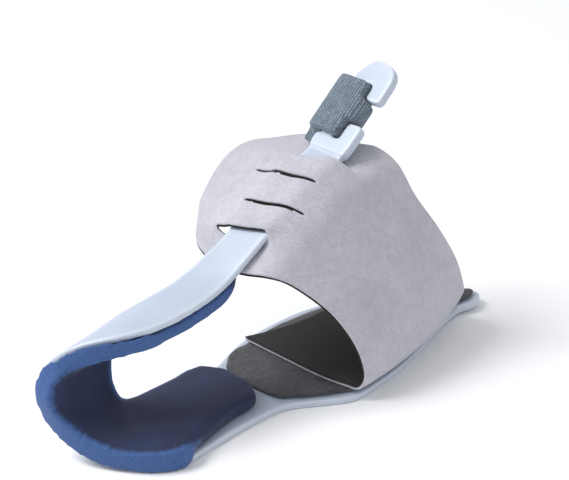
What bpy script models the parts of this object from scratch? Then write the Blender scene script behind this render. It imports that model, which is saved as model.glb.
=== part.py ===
"""A bunion corrector for the right foot: a moulded splint, its pads, an instep band and a tension strap.

Metres, +Z up. The toes point along -X, the big toe side is -Y, and the sole plate stands on Z = 0.
"""

import math

import bmesh
import bpy
import numpy as np
from mathutils import Matrix, Vector

# Moulded splint: sole plate, hook round the big toe, arm along its top and cleat
SOLE_LENGTH = 0.142
SOLE_WIDTH = 0.044
SOLE_REAR_LIFT = 0.0012
SOLE_LIFT_START = 0.096
SOLE_END_RADIUS = 0.005
PLASTIC = 0.0020
PLASTIC_EDGE = 0.0006
TOE_HEIGHT = 0.0345
TOE_REACH = 0.0195
HOOK_LENGTH = 0.020
ARM_WIDTH = 0.012

# Cleat at the arm's end
CLEAT_SLOPE = math.radians(40)
CLEAT_THICKNESS = 0.0030
CLEAT_EDGE = 0.0005
CLEAT_START = 0.0025
CLEAT_LENGTH = 0.0325
CLEAT_FLANGE = 0.0004
HOOK_TIP_WIDTH = 0.0045
LOWER_HOOK_REACH = 0.0125
UPPER_HOOK_REACH = 0.0048
HOOK_TIP_RADIUS = 0.0014
HEAD_RADIUS = 0.0050
CLEAT_CORNER = 0.0008
NECK_START = 0.0068
NECK_LENGTH = 0.0180
NECK_WIDTH = 0.0040
NECK_SETBACK = 0.0070
NECK_CORNER = 0.0003

# Toe pad and sole lining
PAD_WALL = 0.0040
PAD_EDGE = 0.0010
PAD_SOLE_REACH = 0.056
PAD_OVERHANG = 0.0008
PAD_SOLE_MARGIN = 0.0030
PAD_END_RADIUS = 0.006
PAD_TO_BAND = 0.0028
LINING_WALL = 0.0012
LINING_MARGIN = 0.0018
LINING_TO_PAD = 0.0015

# Instep band
BAND_WALL = 0.0019
BAND_FRONT = 0.054
BAND_WIDTH = 0.051
BAND_FRONT_HEIGHT = 0.0383
BAND_REAR_HEIGHT = 0.0583
TONGUE_REACH = 0.0330
TONGUE_BULGE = 0.0030
SIDE_BULGE = 0.0032
SLIT_LENGTH = 0.0260
SLIT_GAP = 0.0018

# Tension strap wound on the cleat
STRAP_WIDTH = 0.0140
STRAP_STACK = 0.0084
STRAP_CORNER = 0.0034
STRAP_EDGE = 0.0010
TAIL_WALL = 0.0015
TAIL_WIDTH = 0.0115
TAIL_START = 0.0035
TAIL_OVERHANG = 0.0022
TAIL_FOOT = 0.0060

# Clearance between pieces that touch
GAP = 0.0003

# Sole plate from its rear tip forward: along as a share of SOLE_LENGTH, sides as shares of SOLE_WIDTH
SOLE_STATIONS = (
    # along, medial side, lateral side
    (1.000, -0.27, -0.10),
    (0.965, -0.28, -0.03),
    (0.915, -0.25, 0.08),
    (0.845, -0.30, 0.27),
    (0.770, -0.38, 0.42),
    (0.690, -0.45, 0.49),
    (0.610, -0.49, 0.50),
    (0.530, -0.50, 0.48),
    (0.465, -0.38, 0.42),
    (0.405, -0.27, 0.35),
    (0.305, -0.26, 0.33),
    (0.215, -0.28, 0.33),
)

# Hook round the toe: along as shares of HOOK_LENGTH, side of TOE_REACH, up of TOE_HEIGHT
HOOK_STATIONS = (
    # front edge along, side, up; rear edge along, side, up
    (1.05, -0.64, 0.000, 1.36, 0.75, 0.000),
    (0.68, -0.42, 0.000, 1.23, 0.80, 0.012),
    (0.36, 0.02, 0.015, 1.11, 0.88, 0.065),
    (0.14, 0.47, 0.120, 1.02, 0.96, 0.170),
    (0.03, 0.85, 0.300, 0.98, 0.99, 0.330),
    (0.00, 0.98, 0.520, 0.96, 1.00, 0.520),
    (0.07, 0.95, 0.700, 0.98, 0.97, 0.700),
    (0.22, 0.80, 0.830, 1.05, 0.90, 0.840),
    (0.45, 0.56, 0.915, 1.20, 0.78, 0.940),
    (0.75, 0.27, 0.970, 1.42, 0.68, 1.005),
    (1.15, 0.06, 0.995, 1.70, 0.63, 1.045),
)

# Arm over the toe, ahead of the band: along as shares of BAND_FRONT, up of TOE_HEIGHT
ARM_STATIONS = (
    # medial edge along, up; lateral edge along, up
    (0.60, 1.010, 0.75, 1.075),
    (0.79, 1.050, 0.87, 1.125),
    (0.92, 1.120, 0.96, 1.185),
)

# Arm over the band: shares of BAND_WIDTH behind the band's front edge
ARM_ON_BAND = (0.06, 0.20, 0.36, 0.50, 0.62)

# Instep band, round the foot from the tongue's free edge, down the medial side and under the sole.
# Along: shares of BAND_WIDTH behind BAND_FRONT. Side: shares of the reach named in the last column.
# Up: shares of the rise from the sole to the arm's underside at that edge.
BAND_STATIONS = (
    # front along, side, up; rear along, side, up; share lying on the sole; cells to the next station
    (0.25, 0.90, 1.19, 0.78, 0.90, 0.950, 0.0, 2),
    (0.13, 0.74, 1.12, 0.90, 0.78, 0.965, 0.0, 3),
    (0.04, 0.60, 1.060, 0.97, 0.60, 0.985, 0.0, 6),
    (0.00, 0.38, 1.010, 1.00, 0.38, 1.000, 0.0, 5),
    (0.00, 0.18, 1.000, 1.01, 0.18, 1.000, 0.0, 5),
    (0.015, 0.00, 1.010, 1.03, 0.00, 1.005, 0.0, 6),
    (0.075, -0.19, 1.010, 1.06, -0.19, 0.945, 0.0, 3),
    (0.175, -0.33, 0.930, 1.13, -0.30, 0.780, 0.0, 3),
    (0.300, -0.54, 0.730, 1.24, -0.42, 0.600, 0.0, 3),
    (0.395, -0.68, 0.470, 1.37, -0.46, 0.400, 0.0, 3),
    (0.440, -0.73, 0.230, 1.47, -0.43, 0.215, 0.0, 3),
    (0.425, -0.70, 0.110, 1.50, -0.38, 0.160, 0.2, 2),
    (0.395, -0.60, 0.060, 1.49, -0.30, 0.130, 1.0, 3),
    (0.365, -0.33, 0.060, 1.44, -0.12, 0.130, 1.0, 4),
    (0.360, 0.12, 0.060, 1.30, 0.15, 0.130, 1.0, 4),
    (0.360, 0.56, 0.060, 1.10, 0.45, 0.130, 1.0, 0),
)

# The four slits, as shares of BAND_WIDTH behind the band's front edge and of SLIT_LENGTH past the arm's medial edge
SLITS = (
    # place, medial end
    (0.21, 0.24),
    (0.39, 0.32),
    (0.55, 0.24),
    (0.70, 0.32),
)
CELLS_BETWEEN_SLITS = (3, 3, 3, 3, 5)


def clear_scene():
    for old in list(bpy.data.objects):
        bpy.data.objects.remove(old, do_unlink=True)


def new_collection(name, helper=False):
    group = bpy.data.collections.new(name)
    bpy.context.scene.collection.children.link(group)
    group.hide_render = helper
    return group


def new_material(name, colour, roughness, metallic=0.0):
    material = bpy.data.materials.new(name)
    material.use_nodes = True
    shader = material.node_tree.nodes["Principled BSDF"]
    shader.inputs["Base Color"].default_value = (*colour, 1.0)
    shader.inputs["Roughness"].default_value = roughness
    shader.inputs["Metallic"].default_value = metallic
    material.diffuse_color = (*colour, 1.0)
    return material


def new_object(name, mesh, group, material=None):
    obj = bpy.data.objects.new(name, mesh)
    group.objects.link(obj)
    if material:
        mesh.materials.append(material)
    return obj


def shade(mesh, angle=math.radians(40)):
    mesh.shade_smooth()
    mesh.set_sharp_from_angle(angle=angle)


def smooth_row(rows, at):
    """The row at a fractional index, on a smooth curve through all the rows."""
    last = len(rows) - 1
    first = min(int(at), last - 1)
    t = at - first
    before = rows[max(first - 1, 0)]
    start = rows[first]
    end = rows[first + 1]
    after = rows[min(first + 2, last)]
    rise = (end - before) / 2
    fall = (after - start) / 2
    turn = 3 * (end - start) - 2 * rise - fall
    close = rise + fall - 2 * (end - start)
    return start + rise * t + turn * t**2 + close * t**3


def round_end(distance, radius, least=0.25):
    """How wide a strip is at a distance from its rounded end, as a share of its full width."""
    share = 1 - min(max(distance / radius, 0), 1)
    return max(math.sqrt(1 - share**2), least)


def sole_lift(x):
    share = (x - SOLE_LIFT_START) / (SOLE_LENGTH - SOLE_LIFT_START)
    return SOLE_REAR_LIFT * max(share, 0) ** 2


def dorsum_height(x):
    """Height of the band's outer face where it passes under the arm."""
    share = min(max((x - BAND_FRONT) / BAND_WIDTH, 0), 1)
    return BAND_FRONT_HEIGHT + (BAND_REAR_HEIGHT - BAND_FRONT_HEIGHT) * math.sin(share * math.pi / 2)


SLIT_PLACES = [place for place, medial_end in SLITS]
ARM_STAND = 1.15 * PLASTIC + 1.5 * GAP
BAND_LIFT = ARM_STAND + 2.5 * GAP + 1.2 * BAND_WALL
CLEAT_X = BAND_FRONT + SLIT_PLACES[-1] * BAND_WIDTH
CLEAT_Z = dorsum_height(CLEAT_X) + ARM_STAND
SOLE_STACK = PLASTIC + LINING_WALL + 2 * GAP


def cleat_point(along, across, out=0.0):
    """A point of the cleat: along its slope, across it from the arm's medial edge, and out of its top face."""
    x = CLEAT_X + along * math.cos(CLEAT_SLOPE) - out * math.sin(CLEAT_SLOPE)
    z = CLEAT_Z + along * math.sin(CLEAT_SLOPE) + out * math.cos(CLEAT_SLOPE)
    return np.array((x, across, z))


def strip_edges():
    """Rows of six numbers: the medial or front edge, then the lateral or rear edge, from rear tip to cleat."""
    rows = []
    for along, medial, lateral in SOLE_STATIONS:
        x = along * SOLE_LENGTH
        rows.append((x, medial * SOLE_WIDTH, sole_lift(x), x, lateral * SOLE_WIDTH, sole_lift(x)))
    for row in HOOK_STATIONS:
        sizes = (HOOK_LENGTH, TOE_REACH, TOE_HEIGHT) * 2
        rows.append(tuple(share * size for share, size in zip(row, sizes)))
    for medial_along, medial_up, lateral_along, lateral_up in ARM_STATIONS:
        medial = (medial_along * BAND_FRONT, 0.0, medial_up * TOE_HEIGHT)
        lateral = (lateral_along * BAND_FRONT, ARM_WIDTH, lateral_up * TOE_HEIGHT)
        rows.append((*medial, *lateral))
    for share in ARM_ON_BAND:
        x = BAND_FRONT + share * BAND_WIDTH
        z = dorsum_height(x) + ARM_STAND
        rows.append((x, 0.0, z, x, ARM_WIDTH, z))
    for along in (CLEAT_START, NECK_START - PLASTIC / 2):
        inset = (CLEAT_THICKNESS - PLASTIC) / 2
        rows.append((*cleat_point(along, 0.0, -inset), *cleat_point(along, ARM_WIDTH, -inset)))
    return np.array(rows)


STRIP = strip_edges()
STRIP_LAST = len(STRIP) - 1
TOE_STATION = len(SOLE_STATIONS)


def strip_face(at, across):
    row = smooth_row(STRIP, at)
    point = row[:3] + (row[3:] - row[:3]) * across
    point[2] = max(point[2], 0.0)
    return point


def strip_width(at):
    row = smooth_row(STRIP, at)
    return float(np.linalg.norm(row[3:] - row[:3]))


def strip_point(at, across, depth=0.0):
    """A point at a depth inside the strip's outer face."""
    step = 0.02
    here = strip_face(at, across)
    if depth == 0.0:
        return here
    ahead = strip_face(min(at + step, STRIP_LAST), across) - strip_face(max(at - step, 0), across)
    side = strip_face(at, across + step) - strip_face(at, across - step)
    inward = np.cross(side, ahead)
    return here + inward / np.linalg.norm(inward) * depth


def station_on_sole(x):
    """The strip's station where the sole plate's middle line passes x."""
    stations = np.arange(TOE_STATION)
    middle = STRIP[:TOE_STATION, [0, 3]].mean(axis=1)
    return float(np.interp(-x, -middle, stations))


def station_on_arm(x):
    """The strip's station where the arm's middle line passes x."""
    first = TOE_STATION + len(HOOK_STATIONS) // 2
    stations = np.arange(first, STRIP_LAST + 1)
    middle = STRIP[first:, [0, 3]].mean(axis=1)
    return float(np.interp(x, middle, stations))


def grid_mesh(name, along_lines, across_lines, place, dropped=None):
    """An open sheet: a grid whose lines are set at the given values and placed by a function of the two."""
    bm = bmesh.new()
    long_cells = len(along_lines) - 1
    wide_cells = len(across_lines) - 1
    bmesh.ops.create_grid(bm, x_segments=long_cells, y_segments=wide_cells, size=0.5)
    index = {}
    for vert in bm.verts:
        index[vert] = (round((vert.co.x + 0.5) * long_cells), round((vert.co.y + 0.5) * wide_cells))
    if dropped:
        gone = [face for face in bm.faces if dropped(*(min(c) for c in zip(*(index[v] for v in face.verts))))]
        bmesh.ops.delete(bm, geom=gone, context="FACES")
    for vert in bm.verts:
        i, j = index[vert]
        vert.co = place(along_lines[i], across_lines[j])
    mesh = bpy.data.meshes.new(name)
    bm.to_mesh(mesh)
    bm.free()
    return mesh


def round_edges(obj, radius):
    rounding = obj.modifiers.new("edge", "BEVEL")
    rounding.width = radius
    rounding.segments = 2
    rounding.limit_method = "ANGLE"
    rounding.angle_limit = math.radians(50)


def thicken(obj, wall):
    """Gives an open sheet a wall on its inner side."""
    solid = obj.modifiers.new("wall", "SOLIDIFY")
    solid.thickness = wall
    solid.offset = -1
    solid.use_even_offset = True


def bake(obj, group):
    """The object's shape with its modifiers, as a plain mesh object of the same name."""
    name = obj.name
    graph = bpy.context.evaluated_depsgraph_get()
    mesh = bpy.data.meshes.new_from_object(obj.evaluated_get(graph))
    mesh.transform(obj.matrix_world)
    bm = bmesh.new()
    bm.from_mesh(mesh)
    bmesh.ops.remove_doubles(bm, verts=bm.verts, dist=0.00002)
    bmesh.ops.recalc_face_normals(bm, faces=bm.faces)
    bm.to_mesh(mesh)
    bm.free()
    bpy.data.objects.remove(obj, do_unlink=True)
    baked = new_object(name, mesh, group)
    return baked


def combine(obj, tool, operation):
    join = obj.modifiers.new(operation.lower() + "_" + tool.name, "BOOLEAN")
    join.operation = operation
    join.solver = "EXACT"
    join.object = tool
    tool.display_type = "WIRE"
    tool.hide_render = True


def rounded_outline(corners, turns=4):
    """Points round a flat outline given as corners of along, across and radius."""
    points = []
    count = len(corners)
    for i, (x, y, radius) in enumerate(corners):
        corner = Vector((x, y))
        before = (Vector(corners[i - 1][:2]) - corner).normalized()
        after = (Vector(corners[(i + 1) % count][:2]) - corner).normalized()
        half = before.angle(after) / 2
        reach = radius / math.tan(half)
        centre = corner + (before + after).normalized() * (radius / math.sin(half))
        start = corner + before * reach - centre
        end = corner + after * reach - centre
        sweep = start.angle_signed(end)
        for k in range(turns + 1):
            spoke = start.copy()
            spoke.rotate(Matrix.Rotation(-sweep * k / turns, 2))
            points.append(centre + spoke)
    return points


def flat_plate(name, points, thickness, edge, frame, group):
    """A flat outline as a filled curve with thickness, placed by a frame, with its edges rounded."""
    curve = bpy.data.curves.new(name, "CURVE")
    curve.dimensions = "2D"
    curve.fill_mode = "BOTH"
    curve.extrude = thickness / 2
    spline = curve.splines.new("POLY")
    spline.points.add(len(points) - 1)
    for point, place in zip(spline.points, points):
        point.co = (place[0], place[1], 0.0, 1.0)
    spline.use_cyclic_u = True
    obj = bpy.data.objects.new(name, curve)
    group.objects.link(obj)
    obj.matrix_world = frame
    bpy.context.view_layer.update()
    plate = bake(obj, group)
    round_edges(plate, edge)
    return plate


def cleat_frame(out=0.0):
    """Local X up the cleat's slope, local Y across it, local Z out of its top face."""
    place = Matrix.Translation(Vector(cleat_point(0.0, 0.0, out)))
    return place @ Matrix.Rotation(-CLEAT_SLOPE, 4, "Y")


def box(name, low, high, frame, group):
    mesh = bpy.data.meshes.new(name)
    bm = bmesh.new()
    size = Vector(high) - Vector(low)
    middle = (Vector(high) + Vector(low)) / 2
    bmesh.ops.create_cube(bm, size=1.0)
    bmesh.ops.scale(bm, verts=bm.verts, vec=size)
    bmesh.ops.translate(bm, verts=bm.verts, vec=middle)
    bmesh.ops.transform(bm, verts=bm.verts, matrix=frame)
    bm.to_mesh(mesh)
    bm.free()
    return new_object(name, mesh, group)


def cleat_corners():
    """The cleat's outline: a neck between two hooks that face each other on the medial side."""
    side = -CLEAT_FLANGE
    far = ARM_WIDTH + CLEAT_FLANGE
    neck_end = NECK_START + NECK_LENGTH
    neck_far = NECK_SETBACK + NECK_WIDTH
    upper_tip = neck_end - UPPER_HOOK_REACH
    return (
        (CLEAT_START, side, CLEAT_CORNER),
        (LOWER_HOOK_REACH, side - CLEAT_FLANGE, HOOK_TIP_RADIUS),
        (LOWER_HOOK_REACH - CLEAT_FLANGE, HOOK_TIP_WIDTH, HOOK_TIP_RADIUS),
        (NECK_START, HOOK_TIP_WIDTH, CLEAT_CORNER),
        (NECK_START, NECK_SETBACK, NECK_CORNER),
        (neck_end, NECK_SETBACK, NECK_CORNER),
        (neck_end, HOOK_TIP_WIDTH, CLEAT_CORNER),
        (upper_tip, HOOK_TIP_WIDTH, HOOK_TIP_RADIUS),
        (upper_tip, side - CLEAT_FLANGE, HOOK_TIP_RADIUS),
        (0.97 * CLEAT_LENGTH, side, HEAD_RADIUS),
        (CLEAT_LENGTH, 0.72 * ARM_WIDTH, 0.72 * HEAD_RADIUS),
        (neck_end + 3 * CLEAT_FLANGE, far, HOOK_TIP_RADIUS),
        (neck_end, neck_far, NECK_CORNER),
        (NECK_START, neck_far, NECK_CORNER),
        (NECK_START, far, CLEAT_CORNER),
        (CLEAT_START, far, CLEAT_CORNER),
    )


def make_splint(group, helpers, material):
    """One moulded piece: sole plate, toe hook, arm and cleat."""
    along = np.linspace(0, STRIP_LAST, 3 * STRIP_LAST + 1)
    across = np.linspace(0, 1, 7)

    def place(at, share):
        tip_x = STRIP[0, [0, 3]].mean()
        here_x = strip_face(at, 0.5)[0] if at < TOE_STATION / 2 else 0.0
        width = round_end(tip_x - here_x, SOLE_END_RADIUS, 0.3)
        return strip_point(at, 0.5 + (share - 0.5) * width)

    strip = new_object("splint", grid_mesh("splint", along, across, place), group, material)
    thicken(strip, PLASTIC)
    round_edges(strip, PLASTIC_EDGE)
    outline = rounded_outline(cleat_corners())
    middle = cleat_frame(-CLEAT_THICKNESS / 2)
    cleat = flat_plate("cleat", outline, CLEAT_THICKNESS, CLEAT_EDGE, middle, helpers)
    combine(strip, cleat, "UNION")
    return strip


def make_toe_pad(group, material):
    """Foam pad on the strip's inner face, from the sole round the hook to the arm."""
    start = station_on_sole(PAD_SOLE_REACH)
    end = station_on_arm(BAND_FRONT - PAD_TO_BAND)
    along = np.linspace(start, end, 57)
    across = np.linspace(0, 1, 6)
    first = strip_face(start, 0.5)
    last = strip_face(end, 0.5)

    def place(at, share):
        here = strip_face(at, 0.5)
        nearest = min(np.linalg.norm(here - first), np.linalg.norm(here - last))
        taper = round_end(nearest, PAD_END_RADIUS, 0.4)
        on_sole = min(max((TOE_STATION - at) / 2, 0), 1)
        medial = (PAD_SOLE_MARGIN + PAD_OVERHANG) * on_sole - PAD_OVERHANG
        width = strip_width(at)
        inset = medial + (width - medial + PAD_OVERHANG) * (0.5 + (share - 0.5) * taper)
        return strip_point(at, inset / width, PLASTIC + GAP)

    pad = new_object("toe_pad", grid_mesh("toe_pad", along, across, place), group, material)
    thicken(pad, PAD_WALL)
    round_edges(pad, PAD_EDGE)
    return pad


def make_lining(group, material):
    """Thin lining on the sole plate, from the pad to the rear tip."""
    start = station_on_sole(SOLE_LENGTH - LINING_MARGIN)
    end = station_on_sole(PAD_SOLE_REACH + LINING_TO_PAD)
    along = np.linspace(start, end, 22)
    across = np.linspace(0, 1, 7)
    tip_x = strip_face(0, 0.5)[0]

    def place(at, share):
        taper = round_end(tip_x - LINING_MARGIN - strip_face(at, 0.5)[0], SOLE_END_RADIUS, 0.3)
        width = strip_width(at)
        inset = (0.5 - LINING_MARGIN / width) * 2 * (share - 0.5) * taper
        return strip_point(at, 0.5 + inset, PLASTIC + GAP)

    lining = new_object("sole_lining", grid_mesh("sole_lining", along, across, place), group, material)
    thicken(lining, LINING_WALL)
    return lining


def band_rows():
    """Front edge, rear edge and share on the sole, for each station round the foot."""
    rows = []
    for front_x, front_y, front_up, rear_x, rear_y, rear_up, on_sole, cells in BAND_STATIONS:
        front = (
            BAND_FRONT + front_x * BAND_WIDTH,
            front_y * TONGUE_REACH,
            front_up * BAND_FRONT_HEIGHT,
        )
        rear = (
            BAND_FRONT + rear_x * BAND_WIDTH,
            rear_y * TONGUE_REACH,
            rear_up * BAND_REAR_HEIGHT,
        )
        rows.append((*front, *rear, on_sole))
    return np.array(rows)


BAND = band_rows()
BAND_RIM_STATION = 9
SIDE_START = 6.5


def slit_ends(share):
    """The medial and lateral ends of a slit at a share of the band's width, in between for a strip."""
    past_arm = float(np.interp(share, SLIT_PLACES, [medial_end for place, medial_end in SLITS]))
    medial = -past_arm * SLIT_LENGTH
    return medial, medial + SLIT_LENGTH


def arm_lift(share, y):
    """How far up a strip of the band goes to pass over the arm, as a share of the full lift."""
    medial, lateral = slit_ends(share)
    near_medial = -GAP - 0.9 * BAND_WALL
    near_lateral = ARM_WIDTH + GAP + 0.9 * BAND_WALL
    if y < near_medial:
        part = (y - medial) / (near_medial - medial)
    elif y > near_lateral:
        part = (lateral - y) / (lateral - near_lateral)
    else:
        part = 1.0
    return math.sin(min(max(part, 0), 1) * math.pi / 2)


def band_point(at, share, over_arm):
    row = smooth_row(BAND, at)
    front = row[:3]
    rear = row[3:6]
    point = front + (rear - front) * share
    crown = math.sin(share * math.pi / 2) - share
    top_share = min(max(point[2] / BAND_FRONT_HEIGHT - 0.3, 0), 1)
    point[2] += (BAND_REAR_HEIGHT - BAND_FRONT_HEIGHT) * crown * top_share
    tongue = max(1 - at / 2, 0) ** 2
    side = min(max((at - SIDE_START) / (BAND_RIM_STATION - SIDE_START), 0), 1)
    point[1] += (TONGUE_BULGE * tongue - SIDE_BULGE * side) * 4 * share * (1 - share)
    on_sole = min(max(row[6], 0), 1)
    point[2] += (SOLE_STACK + sole_lift(point[0]) - point[2]) * on_sole
    if over_arm and row[2] > BAND_FRONT_HEIGHT / 2:
        point[2] += BAND_LIFT * arm_lift(share, point[1])
    return point


def make_band(group, material):
    """Soft instep band with four slits. Its strips between the slits pass over the arm."""
    along = [0.0]
    for station, row in enumerate(BAND_STATIONS[:-1]):
        along += [station + (k + 1) / row[-1] for k in range(row[-1])]
    half_gap = SLIT_GAP / 2 / BAND_WIDTH
    across = []
    slit_cells = []
    edge = 0.0
    for place, cells in zip((*SLIT_PLACES, 1.0 + half_gap), CELLS_BETWEEN_SLITS):
        across += list(np.linspace(edge, place - half_gap, cells + 1))
        slit_cells.append(len(across) - 1)
        edge = place + half_gap
    first_over = slit_cells[0] + 1
    last_over = slit_cells[-2]

    def in_slit(i, j):
        if j not in slit_cells[:-1]:
            return False
        at = (along[i] + along[i + 1]) / 2
        share = (across[j] + across[j + 1]) / 2
        medial, lateral = slit_ends(share)
        return at < BAND_RIM_STATION and medial < band_point(at, share, False)[1] < lateral

    lines = list(enumerate(across))

    def place(at, line):
        number, share = line
        return band_point(at, share, first_over <= number <= last_over)

    band = new_object("instep_band", grid_mesh("instep_band", along, lines, place, in_slit), group, material)
    thicken(band, BAND_WALL)
    return band


def make_tail(helpers):
    """The strap's tail, from under its turns down to the band beside the arm."""
    core = -CLEAT_THICKNESS / 2
    top = cleat_point(NECK_START + TAIL_START, 0.0, core - STRAP_STACK / 2 + 0.8 * TAIL_WALL)
    foot_x = CLEAT_X + TAIL_FOOT
    foot = np.array((foot_x, 0.0, dorsum_height(foot_x) + 2 * GAP))
    low = NECK_SETBACK + NECK_WIDTH / 2 + STRAP_WIDTH / 2 + TAIL_OVERHANG - TAIL_WIDTH
    across = np.linspace(low, low + TAIL_WIDTH, 2)

    def place(at, side):
        ease = at**2 * (3 - 2 * at)
        return (top[0] + (foot[0] - top[0]) * at, side, top[2] + (foot[2] - top[2]) * ease)

    tail = new_object("tail", grid_mesh("tail", np.linspace(0, 1, 7), across, place), helpers)
    thicken(tail, TAIL_WALL)
    return bake(tail, helpers)


def make_strap(group, helpers, material):
    """Knitted strap: the turns wound on the cleat's neck, and the tail that comes up from the band."""
    middle = NECK_SETBACK + NECK_WIDTH / 2
    start = NECK_START + GAP
    end = NECK_START + NECK_LENGTH - GAP
    low = middle - STRAP_WIDTH / 2
    half = STRAP_STACK / 2
    corners = (
        (-half, low, STRAP_CORNER),
        (half, low, STRAP_CORNER),
        (half, low + STRAP_WIDTH, STRAP_CORNER),
        (-half, low + STRAP_WIDTH, STRAP_CORNER),
    )
    turn = Matrix.Rotation(math.radians(90), 4, "Y")
    core = cleat_frame(-CLEAT_THICKNESS / 2)
    frame = core @ Matrix.Translation(((start + end) / 2, 0.0, 0.0)) @ turn
    wrap = flat_plate("tension_strap", rounded_outline(corners, 5), end - start, STRAP_EDGE, frame, group)
    wrap.data.materials.append(material)
    combine(wrap, make_tail(helpers), "UNION")
    deep = STRAP_STACK
    neck_half = CLEAT_THICKNESS / 2 + GAP
    neck = box(
        "neck_space",
        (0.0, NECK_SETBACK - GAP, -neck_half),
        (CLEAT_LENGTH, NECK_SETBACK + NECK_WIDTH + GAP, neck_half),
        core,
        helpers,
    )
    lower = box(
        "lower_hook_space",
        (0.0, -deep, -deep),
        (LOWER_HOOK_REACH + GAP, HOOK_TIP_WIDTH + GAP, deep),
        core,
        helpers,
    )
    upper_tip = NECK_START + NECK_LENGTH - UPPER_HOOK_REACH
    upper = box(
        "upper_hook_space",
        (upper_tip - GAP, -deep, -deep),
        (CLEAT_LENGTH, HOOK_TIP_WIDTH + GAP, deep),
        core,
        helpers,
    )
    for cutter in (neck, lower, upper):
        combine(wrap, cutter, "DIFFERENCE")
    return wrap


def stand_at_origin(parts):
    """Moves the parts so that the origin is under the middle of the whole object, on the floor."""
    bpy.context.view_layer.update()
    graph = bpy.context.evaluated_depsgraph_get()
    corners = []
    for part in parts:
        shape = part.evaluated_get(graph).to_mesh()
        corners += [part.matrix_world @ vert.co for vert in shape.vertices]
    places = np.array(corners)
    low = places.min(axis=0)
    high = places.max(axis=0)
    shift = Vector(((low[0] + high[0]) / 2, (low[1] + high[1]) / 2, low[2]))
    for part in bpy.data.objects:
        part.location = part.location - shift


clear_scene()
corrector = new_collection("bunion_corrector")
cutters = new_collection("helpers", helper=True)
plastic = new_material("pale_plastic", (0.62, 0.67, 0.75), 0.35)
foam = new_material("blue_foam", (0.07, 0.16, 0.42), 0.80)
dark_lining = new_material("dark_lining", (0.10, 0.10, 0.12), 0.90)
velour = new_material("grey_velour", (0.55, 0.55, 0.60), 0.95)
knit = new_material("slate_knit", (0.22, 0.28, 0.34), 0.90)
made = [
    make_splint(corrector, cutters, plastic),
    make_toe_pad(corrector, foam),
    make_lining(corrector, dark_lining),
    make_band(corrector, velour),
    make_strap(corrector, cutters, knit),
]
stand_at_origin(made)
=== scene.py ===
import math

import bmesh
import bpy
import numpy as np
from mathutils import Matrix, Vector
from mathutils.bvhtree import BVHTree
from mathutils.kdtree import KDTree


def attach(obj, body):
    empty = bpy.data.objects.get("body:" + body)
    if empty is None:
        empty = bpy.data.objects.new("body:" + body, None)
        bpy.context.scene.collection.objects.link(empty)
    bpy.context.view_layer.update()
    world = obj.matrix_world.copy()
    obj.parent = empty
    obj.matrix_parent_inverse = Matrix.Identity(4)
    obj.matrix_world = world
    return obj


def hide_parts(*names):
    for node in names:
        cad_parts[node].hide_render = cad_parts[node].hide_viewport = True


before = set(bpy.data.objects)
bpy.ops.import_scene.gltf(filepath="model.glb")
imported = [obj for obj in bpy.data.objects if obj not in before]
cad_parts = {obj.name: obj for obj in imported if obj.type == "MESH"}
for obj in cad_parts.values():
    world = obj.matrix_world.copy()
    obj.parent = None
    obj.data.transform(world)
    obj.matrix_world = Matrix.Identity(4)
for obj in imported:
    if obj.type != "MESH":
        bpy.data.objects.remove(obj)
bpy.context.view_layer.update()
scene = bpy.context.scene


# Room
# A pale sheet of paper under the corrector, a large soft lamp over the toe side,
# a weaker one on the inner side of the foot, and pale light from all round.
FLOOR_HALF = 3.0
PAPER_TONES = ((0.94, 0.942, 0.945, 1.0), (0.97, 0.971, 0.972, 1.0))
PAPER_GRAIN = 3.0
PAPER_ROUGHNESS = 0.9
CAMERA_TARGET = Vector((0.0244, 0.0206, 0.025))
CAMERA_DISTANCE = 0.56
CAMERA_AZIMUTH = math.radians(-45)
CAMERA_ELEVATION = math.radians(27)
CAMERA_LENS = 124.0
LAMP_AIM = Vector((0, 0, 0.03))
SKY_COLOUR = (0.95, 0.97, 1.0, 1.0)
SKY_STRENGTH = 0.62


def start_material(name):
    """A new material with its node tree and its shader."""
    material = bpy.data.materials.new(name)
    material.use_nodes = True
    tree = material.node_tree
    return material, tree, tree.nodes["Principled BSDF"]


def blend_colours(tree, mask, low, high):
    """Goes from the low colour to the high one by a mask. Each may be a colour or a socket."""
    mix = tree.nodes.new("ShaderNodeMix")
    mix.data_type = "RGBA"
    for number, colour in ((6, low), (7, high)):
        if isinstance(colour, bpy.types.NodeSocket):
            tree.links.new(colour, mix.inputs[number])
        else:
            mix.inputs[number].default_value = colour
    tree.links.new(mask, mix.inputs[0])
    return mix.outputs[2]


bpy.ops.object.select_all(action="DESELECT")
bpy.ops.mesh.primitive_plane_add(size=2 * FLOOR_HALF, location=(0, 0, 0))
floor = bpy.context.active_object
floor.name = "paper_floor"
paper, paper_tree, paper_shader = start_material("pale_paper")
paper_shader.inputs["Roughness"].default_value = PAPER_ROUGHNESS
paper_grain = paper_tree.nodes.new("ShaderNodeTexNoise")
paper_grain.inputs["Scale"].default_value = PAPER_GRAIN
paper_colour = blend_colours(paper_tree, paper_grain.outputs["Fac"], *PAPER_TONES)
paper_tree.links.new(paper_colour, paper_shader.inputs["Base Color"])
floor.data.materials.append(paper)

eye = Vector((
    math.sin(CAMERA_AZIMUTH) * math.cos(CAMERA_ELEVATION),
    -math.cos(CAMERA_AZIMUTH) * math.cos(CAMERA_ELEVATION),
    math.sin(CAMERA_ELEVATION),
))
bpy.ops.object.camera_add(
    location=CAMERA_TARGET + eye * CAMERA_DISTANCE,
    rotation=(math.pi / 2 - CAMERA_ELEVATION, 0, CAMERA_AZIMUTH),
)
camera = bpy.context.active_object
camera.data.lens = CAMERA_LENS
camera.data.clip_start = 0.01
scene.camera = camera
scene.view_settings.view_transform = "Standard"


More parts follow.
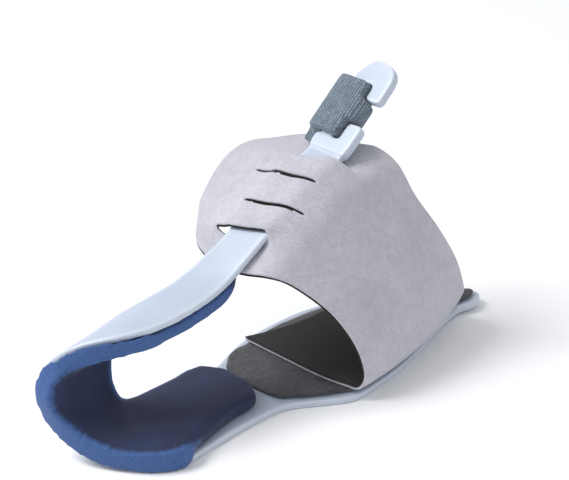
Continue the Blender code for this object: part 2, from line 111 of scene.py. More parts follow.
def soft_lamp(name, place, size, watts):
    bpy.ops.object.light_add(type="AREA", location=place)
    lamp = bpy.context.active_object
    lamp.name = name
    lamp.data.size = size
    lamp.data.energy = watts
    lamp.rotation_euler = (LAMP_AIM - Vector(place)).to_track_quat("-Z", "Y").to_euler()


soft_lamp("lamp_over_toe", (-0.45, 0.40, 0.80), 0.45, 8.0)
soft_lamp("lamp_inner_side", (0.25, -0.85, 0.40), 0.60, 0.5)
sky = bpy.data.worlds.new("pale_room")
scene.world = sky
sky.use_nodes = True
sky.node_tree.nodes["Background"].inputs["Color"].default_value = SKY_COLOUR
sky.node_tree.nodes["Background"].inputs["Strength"].default_value = SKY_STRENGTH


# Splint
# One piece moulded in a pale blue-grey plastic, semi-gloss: the sole plate, the hook round the toe,
# the arm over it and the cleat. Its edges are rounded in the mould, and the rest is glued or wound on it.
MERGE = 0.00002
QUAD_FOLD = math.radians(50)
QUAD_SKEW = math.radians(70)
PLASTIC_TONES = ((0.44, 0.50, 0.61, 1.0), (0.50, 0.56, 0.67, 1.0))
PLASTIC_EDGE_HIGHLIGHT = (0.62, 0.67, 0.76, 1.0)
PLASTIC_VOXEL = 0.00045
PLASTIC_CLOUDS = 45.0
PLASTIC_PEEL = 900.0
PEEL_SHARE = 0.25
EDGE_STRENGTH = 0.0006
EDGE_BLUR = 3
SMALLEST = 1e-6


def work_on(piece):
    bpy.ops.object.select_all(action="DESELECT")
    piece.select_set(True)
    bpy.context.view_layer.objects.active = piece


def subdivide(piece, levels):
    work_on(piece)
    rounder = piece.modifiers.new("rounder", "SUBSURF")
    rounder.levels = levels
    rounder.render_levels = levels
    bpy.ops.object.modifier_apply(modifier="rounder")


def take_form(node, name, smooth_levels):
    """A copy of a solid of the frame: its points joined, its triangles paired into quads."""
    piece = bpy.data.objects.new(name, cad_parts[node].data.copy())
    scene.collection.objects.link(piece)
    piece.data.materials.clear()
    work_on(piece)
    bpy.ops.object.mode_set(mode="EDIT")
    bpy.ops.mesh.select_all(action="SELECT")
    bpy.ops.mesh.remove_doubles(threshold=MERGE)
    bpy.ops.mesh.tris_convert_to_quads(face_threshold=QUAD_FOLD, shape_threshold=QUAD_SKEW)
    bpy.ops.mesh.normals_make_consistent(inside=False)
    bpy.ops.object.mode_set(mode="OBJECT")
    if smooth_levels:
        subdivide(piece, smooth_levels)
    bpy.ops.object.shade_smooth()
    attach(piece, "root")
    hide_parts(node)
    return piece


def points_of(mesh):
    flat = np.empty(len(mesh.vertices) * 3)
    mesh.vertices.foreach_get("co", flat)
    return flat.reshape(-1, 3)


def move_points(piece, points):
    piece.data.vertices.foreach_set("co", points.ravel())
    piece.data.update()


def normals_of(mesh):
    flat = np.empty(len(mesh.vertices) * 3)
    mesh.vertices.foreach_get("normal", flat)
    return flat.reshape(-1, 3)


def edges_of(mesh):
    flat = np.empty(len(mesh.edges) * 2, dtype=np.int32)
    mesh.edges.foreach_get("vertices", flat)
    return flat.reshape(-1, 2)


def neighbour_mean(values, edges, count):
    """The mean of the neighbours' values at each point of a mesh."""
    total = np.zeros_like(values)
    np.add.at(total, edges[:, 0], values[edges[:, 1]])
    np.add.at(total, edges[:, 1], values[edges[:, 0]])
    share = np.zeros(count)
    np.add.at(share, edges[:, 0], 1)
    np.add.at(share, edges[:, 1], 1)
    share = np.maximum(share, 1)
    return total / (share[:, None] if values.ndim == 2 else share)


def paint_value(mesh, name, values):
    layer = mesh.attributes.new(name, "FLOAT", "POINT")
    layer.data.foreach_set("value", np.clip(values, 0, 1).astype(np.float32))


def mark_edges(piece, strength, blur):
    """Writes how far each point stands out on a rounded edge, where the plastic gets a painted highlight."""
    mesh = piece.data
    points = points_of(mesh)
    edges = edges_of(mesh)
    step = points[edges[:, 1]] - points[edges[:, 0]]
    length = np.maximum(np.linalg.norm(step, axis=1), SMALLEST)
    normals = normals_of(mesh)
    bend = np.einsum("ij,ij->i", normals[edges[:, 1]] - normals[edges[:, 0]], step) / length**2
    total = np.zeros(len(points))
    np.maximum.at(total, edges[:, 0], bend)
    np.maximum.at(total, edges[:, 1], bend)
    value = np.clip(total * strength, 0, 1)
    for turn in range(blur):
        value = (value + neighbour_mean(value, edges, len(points))) / 2
    paint_value(mesh, "edge", value)


def make_grain_group():
    """Even speckle at two sizes. Puts out a mask for the colour and a height for the bump."""
    group = bpy.data.node_groups.new("surface_grain", "ShaderNodeTree")
    sockets = (("Vector", "Vector"), ("Coarse", "Float"), ("Fine", "Float"), ("Fine Share", "Float"))
    for name, kind in sockets:
        group.interface.new_socket(name, in_out="INPUT", socket_type="NodeSocket" + kind)
    for name in ("Mask", "Height"):
        group.interface.new_socket(name, in_out="OUTPUT", socket_type="NodeSocketFloat")
    put_in = group.nodes.new("NodeGroupInput")
    put_out = group.nodes.new("NodeGroupOutput")
    coarse = group.nodes.new("ShaderNodeTexNoise")
    coarse.inputs["Detail"].default_value = 3.0
    fine = group.nodes.new("ShaderNodeTexNoise")
    fine.inputs["Detail"].default_value = 1.0
    both = group.nodes.new("ShaderNodeMix")
    spread = group.nodes.new("ShaderNodeMapRange")
    spread.inputs["From Min"].default_value = 0.32
    spread.inputs["From Max"].default_value = 0.68
    link = group.links.new
    for texture, size in ((coarse, "Coarse"), (fine, "Fine")):
        link(put_in.outputs["Vector"], texture.inputs["Vector"])
        link(put_in.outputs[size], texture.inputs["Scale"])
    link(put_in.outputs["Fine Share"], both.inputs[0])
    link(coarse.outputs["Fac"], both.inputs[2])
    link(fine.outputs["Fac"], both.inputs[3])
    link(both.outputs[0], spread.inputs["Value"])
    link(spread.outputs["Result"], put_out.inputs["Mask"])
    link(both.outputs[0], put_out.inputs["Height"])
    return group


GRAIN = make_grain_group()


def place_grain(tree, vector, coarse, fine, fine_share):
    grain = tree.nodes.new("ShaderNodeGroup")
    grain.node_tree = GRAIN
    tree.links.new(vector, grain.inputs["Vector"])
    grain.inputs["Coarse"].default_value = coarse
    grain.inputs["Fine"].default_value = fine
    grain.inputs["Fine Share"].default_value = fine_share
    return grain


def object_place(tree):
    return tree.nodes.new("ShaderNodeTexCoord").outputs["Object"]


def read_value(tree, name):
    node = tree.nodes.new("ShaderNodeAttribute")
    node.attribute_name = name
    return node.outputs["Fac"]


def press_bump(tree, height, distance, strength, shader):
    bump = tree.nodes.new("ShaderNodeBump")
    bump.inputs["Distance"].default_value = distance
    bump.inputs["Strength"].default_value = strength
    tree.links.new(height, bump.inputs["Height"])
    tree.links.new(bump.outputs["Normal"], shader.inputs["Normal"])


def vary_roughness(tree, mask, low, high, shader):
    """Roughness that follows a mask between two values."""
    spread = tree.nodes.new("ShaderNodeMapRange")
    spread.inputs["To Min"].default_value = low
    spread.inputs["To Max"].default_value = high
    tree.links.new(mask, spread.inputs["Value"])
    tree.links.new(spread.outputs["Result"], shader.inputs["Roughness"])


def remesh(piece, voxel):
    work_on(piece)
    piece.data.remesh_voxel_size = voxel
    piece.data.use_remesh_preserve_volume = True
    bpy.ops.object.voxel_remesh()


def soften(piece, turns, share):
    """Evens out the small steps of a remeshed piece."""
    mesh = piece.data
    points = points_of(mesh)
    edges = edges_of(mesh)
    for turn in range(turns):
        points += share * (neighbour_mean(points, edges, len(points)) - points)
    move_points(piece, points)


splint = take_form("splint", "moulded_splint", 0)
remesh(splint, PLASTIC_VOXEL)
soften(splint, 6, 0.5)
bpy.ops.object.shade_smooth()
mark_edges(splint, EDGE_STRENGTH, EDGE_BLUR)
plastic, plastic_tree, plastic_shader = start_material("pale_blue_plastic")
clouds = place_grain(plastic_tree, object_place(plastic_tree), PLASTIC_CLOUDS, PLASTIC_PEEL, PEEL_SHARE)
body_colour = blend_colours(plastic_tree, clouds.outputs["Mask"], *PLASTIC_TONES)
# The rounded edges are painted lighter, towards the plastic's lit colour: a painted highlight.
edge_highlight_mask = read_value(plastic_tree, "edge")
plastic_colour = blend_colours(plastic_tree, edge_highlight_mask, body_colour, PLASTIC_EDGE_HIGHLIGHT)
plastic_tree.links.new(plastic_colour, plastic_shader.inputs["Base Color"])
vary_roughness(plastic_tree, clouds.outputs["Mask"], 0.34, 0.46, plastic_shader)
plastic_shader.inputs["Coat Weight"].default_value = 0.15
plastic_shader.inputs["Coat Roughness"].default_value = 0.25
press_bump(plastic_tree, clouds.outputs["Height"], 0.00005, 0.25, plastic_shader)
splint.data.materials.append(plastic)


# Toe pad
# A strip of blue foam, 4 mm thick, glued to the inner face of the plate, the hook and the arm. Its inner
# face is painted near-black, which is painted shade; its cut edges are painted lighter, partly the open foam
# and partly painted light; and it swells between them.
PAD_VOXEL = 0.0007
PAD_SWELL = 0.0006
PAD_PRESSURE = 4.0
CLOTH_FRAMES = 20
CLOTH_QUALITY = 6
GLUE_REACH = 0.0008
GLUE_EDGE = 0.12
LIP_REACH = 0.0026
LIP_PROUD = 0.0007
LIP_BEYOND = (0.0010, 0.0017)
LIP_HEIGHTS = (0.0012, 0.0036)
PROUD_BEYOND = (0.0008, 0.0016)
HOOK_AHEAD = (0.040, 0.050)
HOOK_TOP = (0.0290, 0.0335)
PAD_STRETCH = 0.0034
STRETCHED = (-0.045, -0.022)
ARM_FOAM_HEIGHT = 0.024
BELOW_ARM = 0.020
ARM_SEARCH = 0.03
CUT_BEYOND = (0.0006, 0.0016)
FOAM_SKIN_SHADED = ((0.008, 0.012, 0.045, 1.0), (0.016, 0.028, 0.085, 1.0))
FOAM_CUT_LIT = ((0.030, 0.075, 0.22, 1.0), (0.055, 0.13, 0.34, 1.0))
FOAM_CELLS = 1500.0


def puff_up(piece, pressure, swell):
    """Blows the closed foam up by cloth simulation and keeps each point within the swell."""
    work_on(piece)
    start = points_of(piece.data)
    cloth = piece.modifiers.new("foam", "CLOTH")
    cloth.settings.use_pressure = True
    cloth.settings.uniform_pressure_force = pressure
    cloth.settings.effector_weights.gravity = 0.0
    cloth.settings.quality = CLOTH_QUALITY
    cloth.point_cache.frame_start = 1
    cloth.point_cache.frame_end = CLOTH_FRAMES
    for number in range(1, CLOTH_FRAMES + 1):
        scene.frame_set(number)
    bpy.ops.object.modifier_apply(modifier="foam")
    scene.frame_set(1)
    moved = points_of(piece.data) - start
    far = np.maximum(np.linalg.norm(moved, axis=1), 1e-9)
    move_points(piece, start + moved * (np.minimum(far, swell) / far)[:, None])


def ease(value, start, end):
    """A smooth step from 0 at the start to 1 at the end."""
    share = np.clip((value - start) / (end - start), 0, 1)
    return share * share * (3 - 2 * share)


def wrap_edge(piece, carrier, stretch):
    """Turns the foam's front edge over the edge of the hook, and stretches its end along the arm.
    Returns how far each point lies beyond the carrier's glued face."""
    piece_tree = BVHTree.FromObject(piece, bpy.context.evaluated_depsgraph_get())
    carrier_points = points_of(carrier.data)
    carrier_normals = normals_of(carrier.data)
    edge_share = np.empty(len(carrier_points), dtype=np.float32)
    carrier.data.attributes["edge"].data.foreach_get("value", edge_share)
    glued = [
        number for number, point in enumerate(carrier_points)
        if edge_share[number] < GLUE_EDGE and piece_tree.find_nearest(point, GLUE_REACH)[0] is not None
    ]
    finder = KDTree(len(glued))
    for number in glued:
        finder.insert(carrier_points[number], number)
    finder.balance()
    points = points_of(piece.data)
    beyond = np.zeros(len(points))
    for number, point in enumerate(points):
        nearest = finder.find(point)[1]
        inward = carrier_normals[nearest]
        apart = point - carrier_points[nearest]
        height = apart @ inward
        out = apart - height * inward
        beyond[number] = np.linalg.norm(out)
        at_hook = float(ease(-point[0], *HOOK_AHEAD) * (1 - ease(point[2], *HOOK_TOP)))
        lip = float(ease(beyond[number], *LIP_BEYOND) * (1 - ease(height, *LIP_HEIGHTS))) * at_hook
        proud = float(ease(beyond[number], *PROUD_BEYOND)) * at_hook
        away = out / max(beyond[number], SMALLEST)
        points[number] = point - inward * LIP_REACH * lip + away * LIP_PROUD * proud
    carrier_tree = BVHTree.FromObject(carrier, bpy.context.evaluated_depsgraph_get())
    up = Vector((0, 0, 1))
    for number, point in enumerate(points):
        if point[2] < ARM_FOAM_HEIGHT or point[0] < STRETCHED[0]:
            continue
        along = stretch * float(ease(point[0], *STRETCHED))
        low = Vector((point[0], max(point[1], 0.0), BELOW_ARM))
        before = carrier_tree.ray_cast(low, up, ARM_SEARCH)[0]
        after = carrier_tree.ray_cast(low + Vector((along, 0, 0)), up, ARM_SEARCH)[0]
        if before and after:
            points[number] = point + np.array((along, 0, after.z - before.z))
    move_points(piece, points)
    return beyond


pad = take_form("toe_pad", "foam_toe_pad", 0)
remesh(pad, PAD_VOXEL)
soften(pad, 10, 0.5)
puff_up(pad, PAD_PRESSURE, PAD_SWELL)
soften(pad, 6, 0.5)
subdivide(pad, 1)
beyond_glue = wrap_edge(pad, splint, PAD_STRETCH)
soften(pad, 4, 0.5)
bpy.ops.object.shade_smooth()
# Beyond the glued face the foam is painted lighter, partly the open cut foam and partly painted light; the
# near-black skin tone inside is painted shade.
paint_value(pad.data, "cut_and_lit", ease(beyond_glue, *CUT_BEYOND))
foam, foam_tree, foam_shader = start_material("blue_foam")
foam_place = object_place(foam_tree)
skin_grain = place_grain(foam_tree, foam_place, 160.0, 900.0, 0.4)
cell_grain = place_grain(foam_tree, foam_place, FOAM_CELLS, 3200.0, 0.5)
shaded_skin_colour = blend_colours(foam_tree, skin_grain.outputs["Mask"], *FOAM_SKIN_SHADED)
lit_cut_colour = blend_colours(foam_tree, cell_grain.outputs["Mask"], *FOAM_CUT_LIT)
foam_colour = blend_colours(foam_tree, read_value(foam_tree, "cut_and_lit"), shaded_skin_colour, lit_cut_colour)
foam_tree.links.new(foam_colour, foam_shader.inputs["Base Color"])
vary_roughness(foam_tree, skin_grain.outputs["Mask"], 0.55, 0.75, foam_shader)
foam_shader.inputs["Sheen Weight"].default_value = 0.12
foam_shader.inputs["Sheen Roughness"].default_value = 0.5
foam_shader.inputs["Specular IOR Level"].default_value = 0.35
press_bump(foam_tree, cell_grain.outputs["Height"], 0.0002, 0.5, foam_shader)
pad.data.materials.append(foam)


# Sole lining
# A dark grey brushed fabric, 1.2 mm thick, glued on the sole plate from the toe pad to the rear tip.
LINING_TONES = ((0.012, 0.012, 0.014, 1.0), (0.075, 0.075, 0.085, 1.0))

lining = take_form("sole_lining", "brushed_lining", 2)
brushed, brushed_tree, brushed_shader = start_material("brushed_dark_fabric")
brushed_place = brushed_tree.nodes.new("ShaderNodeMapping")
brushed_place.inputs["Scale"].default_value = (0.35, 1.0, 1.0)
brushed_tree.links.new(object_place(brushed_tree), brushed_place.inputs["Vector"])
brush_grain = place_grain(brushed_tree, brushed_place.outputs["Vector"], 900.0, 3000.0, 0.5)
brush_colour = blend_colours(brushed_tree, brush_grain.outputs["Mask"], *LINING_TONES)
brushed_tree.links.new(brush_colour, brushed_shader.inputs["Base Color"])
vary_roughness(brushed_tree, brush_grain.outputs["Mask"], 0.85, 1.0, brushed_shader)
brushed_shader.inputs["Sheen Weight"].default_value = 0.25
brushed_shader.inputs["Sheen Roughness"].default_value = 0.6
press_bump(brushed_tree, brush_grain.outputs["Height"], 0.0003, 0.7, brushed_shader)
lining.data.materials.append(brushed)


# Instep band
# Soft grey velour on a dark backing. It goes from under the foot up the inner side and over the instep,
# and ends in a rounded tongue. The arm goes over its front strip, in at the first slit, under three
# strips and out at the last one.
FOOT_ORIGIN = np.array((0.070617, 0.004338, 0.0))
BAND_FRONT = 0.054
BAND_WIDTH = 0.051
BAND_FRONT_HEIGHT = 0.0383
BAND_REAR_HEIGHT = 0.0583
BAND_REACH = 0.0330
TONGUE_BULGE = 0.0030
SIDE_BULGE = 0.0032
SIDE_START = 6.5
SIDE_FULL = 9.0
LINING_TOP = 0.0038
SOLE_LENGTH = 0.142
SOLE_REAR_LIFT = 0.0012
SOLE_LIFT_START = 0.096
BAND_TURNS = 128
BAND_STATIONS = np.array((
    # front along, side, up; rear along, side, up; share lying on the sole
    (0.25, 0.90, 1.19, 0.78, 0.90, 0.950, 0.0),
    (0.13, 0.74, 1.12, 0.90, 0.78, 0.965, 0.0),
    (0.04, 0.60, 1.060, 0.97, 0.60, 0.985, 0.0),
    (0.00, 0.38, 1.010, 1.00, 0.38, 1.000, 0.0),
    (0.00, 0.18, 1.000, 1.01, 0.18, 1.000, 0.0),
    (0.015, 0.00, 1.010, 1.03, 0.00, 1.005, 0.0),
    (0.075, -0.19, 1.010, 1.06, -0.19, 0.945, 0.0),
    (0.175, -0.33, 0.930, 1.13, -0.30, 0.780, 0.0),
    (0.300, -0.54, 0.730, 1.24, -0.42, 0.600, 0.0),
    (0.395, -0.68, 0.470, 1.37, -0.46, 0.400, 0.0),
    (0.440, -0.73, 0.230, 1.47, -0.43, 0.215, 0.0),
    (0.425, -0.70, 0.110, 1.50, -0.38, 0.160, 0.2),
    (0.395, -0.60, 0.060, 1.49, -0.30, 0.130, 1.0),
    (0.365, -0.33, 0.060, 1.44, -0.12, 0.130, 1.0),
    (0.360, 0.12, 0.060, 1.30, 0.15, 0.130, 1.0),
    (0.360, 0.56, 0.060, 1.10, 0.45, 0.130, 1.0),
))
SLITS = (
    # lateral end: station, share of the width; medial end: station, share of the width; opening
    (2.36, 0.140, 4.98, 0.206, 0.0008),
    (2.74, 0.316, 5.50, 0.362, 0.0005),
    (1.93, 0.504, 5.02, 0.530, 0.0005),
    (2.90, 0.640, 5.50, 0.722, 0.0005),
)
STRIP_CELLS = (8, 8, 8, 8, 14)
ARM_WIDTH = 0.012
ARM_MARGIN = 0.0006
STRIP_LIFT = 0.0048
LOWEST_LIFT = 0.0044
SLACK = 0.985
STRETCH_TURNS = 400
EASE_TURNS = 24
ARM_LAST_STATION = 8
MAP_UNIT = 0.1
CROWN_START = 0.3
GUIDE_SHARE = 0.45
GUIDE_POINTS = 600
FACE_WALL = 0.0009
LAYER_GAP = 0.00002
BACKING_WALL = 0.0005
BACKING_SHOWS = 0.00025
CLOUD_SHARE = 0.4
VELOUR_TONES = ((0.38, 0.38, 0.43, 1.0), (0.60, 0.59, 0.64, 1.0))
BACKING_TONES = ((0.006, 0.005, 0.006, 1.0), (0.03, 0.024, 0.024, 1.0))


def curve_row(rows, at):
    """The row at a fractional station, on a smooth curve through all the rows."""
    last = len(rows) - 1
    first = min(int(at), last - 1)
    share = at - first
    before, start, end, after = (rows[min(max(first + k, 0), last)] for k in (-1, 0, 1, 2))
    rise = (end - before) / 2
    fall = (after - start) / 2
    turn = 3 * (end - start) - 2 * rise - fall
    close = rise + fall - 2 * (end - start)
    return start + rise * share + turn * share**2 + close * share**3


def band_spot(at, share):
    """A point of the band's outer face, by its station round the foot and its share of the width."""
    row = curve_row(BAND_STATIONS, at)
    front_x, front_y, front_up, rear_x, rear_y, rear_up, lying = row
    front = np.array((BAND_FRONT + front_x * BAND_WIDTH, front_y * BAND_REACH, front_up * BAND_FRONT_HEIGHT))
    rear = np.array((BAND_FRONT + rear_x * BAND_WIDTH, rear_y * BAND_REACH, rear_up * BAND_REAR_HEIGHT))
    spot = front + (rear - front) * share
    crown = math.sin(share * math.pi / 2) - share
    top_share = min(max(spot[2] / BAND_FRONT_HEIGHT - CROWN_START, 0), 1)
    spot[2] += (BAND_REAR_HEIGHT - BAND_FRONT_HEIGHT) * crown * top_share
    side = min(max((at - SIDE_START) / (SIDE_FULL - SIDE_START), 0), 1)
    spot[1] += (TONGUE_BULGE * max(1 - at / 2, 0) ** 2 - SIDE_BULGE * side) * 4 * share * (1 - share)
    rear_share = max((spot[0] - SOLE_LIFT_START) / (SOLE_LENGTH - SOLE_LIFT_START), 0)
    on_sole = min(max(lying, 0), 1)
    spot[2] += (LINING_TOP + SOLE_REAR_LIFT * rear_share**2 - spot[2]) * on_sole
    return spot


def even_stations(count):
    """Stations an even way apart along the band."""
    fine = np.linspace(0, len(BAND_STATIONS) - 1, GUIDE_POINTS)
    line = np.array([band_spot(at, GUIDE_SHARE) for at in fine])
    way = np.concatenate(((0,), np.cumsum(np.linalg.norm(np.diff(line, axis=0), axis=1))))
    return np.interp(np.linspace(0, way[-1], count + 1), way, fine), way[-1]


def slit_share(number, at):
    """Where the line of a slit lies across the band at a station."""
    lateral_at, lateral_share, medial_at, medial_share, opening = SLITS[number]
    return float(np.interp(at, (lateral_at, medial_at), (lateral_share, medial_share)))


stations, band_length = even_stations(BAND_TURNS)
slit_rows = np.cumsum(STRIP_CELLS)[:-1]
across_cells = sum(STRIP_CELLS)
line_rows = np.concatenate(((0,), slit_rows, (across_cells,)))
bpy.ops.object.select_all(action="DESELECT")
bpy.ops.mesh.primitive_grid_add(x_subdivisions=BAND_TURNS, y_subdivisions=across_cells, size=1.0)
band_sheet = bpy.context.active_object
band_sheet.name = "band_sheet"

bm = bmesh.new()
bm.from_mesh(band_sheet.data)
column_layer = bm.verts.layers.int.new("column")
row_layer = bm.verts.layers.int.new("row")
for point in bm.verts:
    point[column_layer] = round((point.co.x + 0.5) * BAND_TURNS)
    point[row_layer] = round((point.co.y + 0.5) * across_cells)
for number, row in enumerate(slit_rows):
    first = int(np.argmin(np.abs(stations - SLITS[number][0])))
    last = int(np.argmin(np.abs(stations - SLITS[number][2])))
    cuts = [
        edge for edge in bm.edges
        if all(end[row_layer] == row and first <= end[column_layer] <= last for end in edge.verts)
    ]
    bmesh.ops.split_edges(bm, edges=cuts)
bm.verts.index_update()

count = len(bm.verts)
base = np.zeros((count, 3))
lift = np.zeros(count)
held = np.zeros(count, dtype=bool)
slit_side = np.zeros(count)
slit_open = np.zeros(count)
surface_place = np.zeros((count, 2))
for point in bm.verts:
    column = point[column_layer]
    row = point[row_layer]
    at = stations[column]
    face_rows = [np.mean([corner[row_layer] for corner in face.verts]) for face in point.link_faces]
    middle_row = np.mean(face_rows)
    lines = [0.0] + [slit_share(number, at) for number in range(len(SLITS))] + [1.0]
    share = float(np.interp(row, line_rows, lines))
    spot = band_spot(at, share)
    base[point.index] = spot
    surface_place[point.index] = (column / BAND_TURNS * band_length, share * BAND_WIDTH)
    edge_point = point.is_boundary
    on_slit = row in slit_rows and edge_point and 0 < column < BAND_TURNS
    if on_slit:
        number = list(slit_rows).index(row)
        lateral_at, lateral_share, medial_at, medial_share, opening = SLITS[number]
        part = min(max((at - lateral_at) / (medial_at - lateral_at), 0), 1)
        slit_side[point.index] = 1 if middle_row > row else -1
        slit_open[point.index] = opening / 2 * math.sin(math.pi * part)
    over_arm = slit_rows[0] <= middle_row <= slit_rows[-1]
    by_arm = -ARM_MARGIN < spot[1] < ARM_WIDTH + ARM_MARGIN and at < ARM_LAST_STATION
    if by_arm:
        held[point.index] = True
        lift[point.index] = STRIP_LIFT if over_arm else 0.0
    elif edge_point and not on_slit:
        held[point.index] = True
bm.to_mesh(band_sheet.data)
bm.free()

band_edges = edges_of(band_sheet.data)
for turn in range(STRETCH_TURNS):
    eased = neighbour_mean(lift, band_edges, count) * SLACK
    lift = np.where(held, lift, eased)
over = held & (lift > 0)
for turn in range(EASE_TURNS):
    eased = (lift + neighbour_mean(lift, band_edges, count)) / 2
    lift = np.where(over, np.maximum(eased, LOWEST_LIFT), np.where(held, 0, eased))
move_points(band_sheet, base - FOOT_ORIGIN)
outward = normals_of(band_sheet.data)
if outward[np.argmax(base[:, 2])][2] < 0:
    band_sheet.data.flip_normals()
    outward = normals_of(band_sheet.data)
points = base - FOOT_ORIGIN + outward * lift[:, None]
points[:, 0] += slit_side * slit_open
move_points(band_sheet, points)
paint_value(band_sheet.data, "slit", np.abs(slit_side))
band_map = band_sheet.data.uv_layers.new(name="cloth")
loop_points = np.empty(len(band_sheet.data.loops), dtype=np.int32)
band_sheet.data.loops.foreach_get("vertex_index", loop_points)
band_map.data.foreach_set("uv", (surface_place[loop_points] / MAP_UNIT).astype(np.float32).ravel())


def draw_in_rim(piece, outer, at_slits):
    """Pulls the free edges of an open sheet in, by one way at its outline and another at its slits."""
    work = bmesh.new()
    work.from_mesh(piece.data)
    slit_layer = work.verts.layers.float["slit"]
    moves = []
    for point in work.verts:
        if not point.is_boundary:
            continue
        inside = [edge.other_vert(point).co for edge in point.link_edges if not edge.is_boundary]
        if not inside:
            continue
        toward = sum(inside, Vector()) / len(inside) - point.co
        way = at_slits if point[slit_layer] > 0.5 else outer
        moves.append((point, toward.normalized() * min(way, toward.length / 2)))
    for point, move in moves:
        point.co += move
    work.to_mesh(piece.data)
    work.free()


def sink(piece, depth):
    """Moves a sheet in along its own normals."""
    move_points(piece, points_of(piece.data) - normals_of(piece.data) * depth)


def give_wall(piece, wall):
    work_on(piece)
    shell = piece.modifiers.new("wall", "SOLIDIFY")
    shell.thickness = wall
    shell.offset = -1.0
    shell.use_even_offset = False
    bpy.ops.object.modifier_apply(modifier="wall")


backing = bpy.data.objects.new("band_backing", band_sheet.data.copy())
scene.collection.objects.link(backing)
band = band_sheet
band.name = "velour_band"
band.data.name = "velour_band"
# At the slits the velour is drawn in further, so a wider line of the dark backing shows there. This is
# partly painted shade in the slits.
draw_in_rim(band, BACKING_SHOWS, 1.4 * BACKING_SHOWS)
sink(backing, FACE_WALL)
for piece, wall in ((band, FACE_WALL - LAYER_GAP), (backing, BACKING_WALL)):
    give_wall(piece, wall)
    subdivide(piece, 1)
    bpy.ops.object.shade_smooth()
    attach(piece, "root")
    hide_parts("instep_band")

NAP_SLANT = math.radians(35)
HAIR_STRETCH = (0.28, 1.6, 1.0)


def make_nap_group():
    """Short brushed hairs that lie one way. Puts out a mask for the colour and a height for the bump."""
    group = bpy.data.node_groups.new("brushed_nap", "ShaderNodeTree")
    for name, kind in (("Vector", "Vector"), ("Scale", "Float"), ("Streaks", "Float")):
        group.interface.new_socket(name, in_out="INPUT", socket_type="NodeSocket" + kind)
    for name in ("Mask", "Height"):
        group.interface.new_socket(name, in_out="OUTPUT", socket_type="NodeSocketFloat")
    put_in = group.nodes.new("NodeGroupInput")
    put_out = group.nodes.new("NodeGroupOutput")
    slant = group.nodes.new("ShaderNodeMapping")
    slant.inputs["Rotation"].default_value = (0, 0, NAP_SLANT)
    slant.inputs["Scale"].default_value = HAIR_STRETCH
    hairs = group.nodes.new("ShaderNodeTexNoise")
    hairs.inputs["Detail"].default_value = 2.0
    tufts = group.nodes.new("ShaderNodeTexNoise")
    tufts.inputs["Detail"].default_value = 3.0
    both = group.nodes.new("ShaderNodeMix")
    spread = group.nodes.new("ShaderNodeMapRange")
    spread.inputs["From Min"].default_value = 0.3
    spread.inputs["From Max"].default_value = 0.7
    link = group.links.new
    link(put_in.outputs["Vector"], slant.inputs["Vector"])
    link(slant.outputs["Vector"], hairs.inputs["Vector"])
    link(put_in.outputs["Vector"], tufts.inputs["Vector"])
    for texture in (hairs, tufts):
        link(put_in.outputs["Scale"], texture.inputs["Scale"])
    link(put_in.outputs["Streaks"], both.inputs[0])
    link(tufts.outputs["Fac"], both.inputs[2])
    link(hairs.outputs["Fac"], both.inputs[3])
    link(both.outputs[0], spread.inputs["Value"])
    link(spread.outputs["Result"], put_out.inputs["Mask"])
    link(both.outputs[0], put_out.inputs["Height"])
    return group


NAP = make_nap_group()


def place_nap(tree, map_name, scale, streaks):
    reader = tree.nodes.new("ShaderNodeUVMap")
    reader.uv_map = map_name
    nap = tree.nodes.new("ShaderNodeGroup")
    nap.node_tree = NAP
    tree.links.new(reader.outputs["UV"], nap.inputs["Vector"])
    nap.inputs["Scale"].default_value = scale
    nap.inputs["Streaks"].default_value = streaks
    return nap


velour, velour_tree, velour_shader = start_material("grey_velour")
velour_nap = place_nap(velour_tree, "cloth", 170.0, 0.55)
velour_clouds = place_grain(velour_tree, object_place(velour_tree), 70.0, 420.0, 0.45)
velour_mask = velour_tree.nodes.new("ShaderNodeMix")
velour_mask.inputs[0].default_value = CLOUD_SHARE
velour_tree.links.new(velour_nap.outputs["Mask"], velour_mask.inputs[2])
velour_tree.links.new(velour_clouds.outputs["Mask"], velour_mask.inputs[3])
velour_colour = blend_colours(velour_tree, velour_mask.outputs[0], *VELOUR_TONES)
velour_tree.links.new(velour_colour, velour_shader.inputs["Base Color"])
vary_roughness(velour_tree, velour_nap.outputs["Mask"], 0.85, 1.0, velour_shader)
velour_shader.inputs["Sheen Weight"].default_value = 0.35
velour_shader.inputs["Sheen Roughness"].default_value = 0.5
velour_shader.inputs["Specular IOR Level"].default_value = 0.2
press_bump(velour_tree, velour_nap.outputs["Height"], 0.0005, 0.7, velour_shader)
band.data.materials.append(velour)

dark_cloth, dark_tree, dark_shader = start_material("dark_backing_cloth")
dark_nap = place_nap(dark_tree, "cloth", 220.0, 0.3)
dark_colour = blend_colours(dark_tree, dark_nap.outputs["Mask"], *BACKING_TONES)
dark_tree.links.new(dark_colour, dark_shader.inputs["Base Color"])
vary_roughness(dark_tree, dark_nap.outputs["Mask"], 0.85, 1.0, dark_shader)
dark_shader.inputs["Sheen Weight"].default_value = 0.1
press_bump(dark_tree, dark_nap.outputs["Height"], 0.0003, 0.6, dark_shader)
backing.data.materials.append(dark_cloth)


# Tension strap
# A knitted elastic strap in heathered slate, wound on the cleat's neck between its two hooks. Its ribs
# run along the cleat, and its tail goes down beside the arm to the band.
STRAP_VOXEL = 0.00034
RIB_PITCH = 0.00085
RIB_DEPTH = 0.00016
STITCH_PITCH = 0.0011
END_SHARE = 0.15
STRAP_SMOOTHING = 30
CLEAT_SLOPE = math.radians(40)
CLEAT_FOOT = np.array((0.0897, 0.0, 0.0589))
KNIT_TONES = ((0.10, 0.14, 0.185, 1.0), (0.32, 0.385, 0.45, 1.0))
KNIT_VALLEY_SHADE = (0.04, 0.055, 0.08, 1.0)

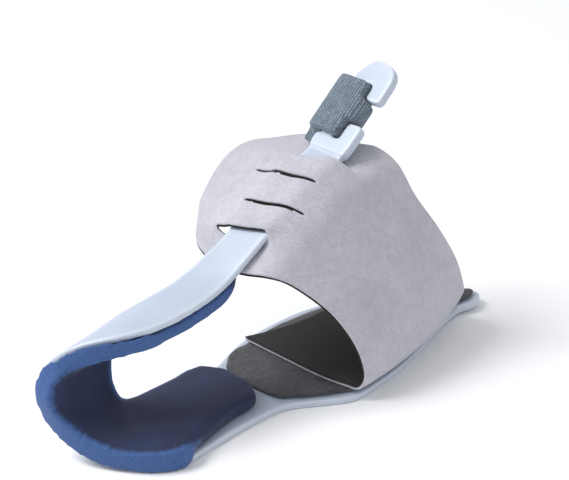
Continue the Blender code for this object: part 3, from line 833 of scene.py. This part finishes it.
strap = take_form("tension_strap", "knitted_strap", 0)
remesh(strap, STRAP_VOXEL)
soften(strap, STRAP_SMOOTHING, 0.5)
subdivide(strap, 1)
strap_points = points_of(strap.data)
strap_normals = normals_of(strap.data)
along_cleat = np.array((math.cos(CLEAT_SLOPE), 0.0, math.sin(CLEAT_SLOPE)))
out_of_cleat = np.array((-math.sin(CLEAT_SLOPE), 0.0, math.cos(CLEAT_SLOPE)))
local = strap_points + FOOT_ORIGIN - CLEAT_FOOT
run = local @ along_cleat
out = local @ out_of_cleat
side = local[:, 1]
flat_share = (strap_normals @ out_of_cleat) ** 2
side_share = strap_normals[:, 1] ** 2
total_share = np.maximum(flat_share + side_share, END_SHARE)
turn_place = np.where(flat_share > side_share, side, out)
rib = np.abs(np.sin(math.pi * turn_place / RIB_PITCH))
rib_number = np.floor(turn_place / RIB_PITCH)
stitch = 0.5 + 0.5 * np.sin(2 * math.pi * (run / STITCH_PITCH + 0.5 * (rib_number % 2)))
relief = (rib * (0.75 + 0.25 * stitch) - 1) * np.minimum(total_share * 1.2, 1)
strap_points += strap_normals * (relief * RIB_DEPTH)[:, None]
move_points(strap, strap_points)
paint_value(strap.data, "rib", rib * (0.7 + 0.3 * stitch))
bpy.ops.object.shade_smooth()
knit, knit_tree, knit_shader = start_material("slate_knit")
knit_place = knit_tree.nodes.new("ShaderNodeMapping")
knit_place.inputs["Rotation"].default_value = (0, CLEAT_SLOPE, 0)
knit_place.inputs["Scale"].default_value = (0.35, 1.0, 1.0)
knit_tree.links.new(object_place(knit_tree), knit_place.inputs["Vector"])
heather = place_grain(knit_tree, knit_place.outputs["Vector"], 700.0, 2400.0, 0.5)
yarn_colour = blend_colours(knit_tree, heather.outputs["Mask"], *KNIT_TONES)
# The valleys between the ribs are painted darker: painted shade in the grooves.
knit_colour = blend_colours(knit_tree, read_value(knit_tree, "rib"), KNIT_VALLEY_SHADE, yarn_colour)
knit_tree.links.new(knit_colour, knit_shader.inputs["Base Color"])
vary_roughness(knit_tree, heather.outputs["Mask"], 0.8, 0.95, knit_shader)
knit_shader.inputs["Sheen Weight"].default_value = 0.3
knit_shader.inputs["Sheen Roughness"].default_value = 0.5
press_bump(knit_tree, heather.outputs["Height"], 0.0002, 0.6, knit_shader)
strap.data.materials.append(knit)
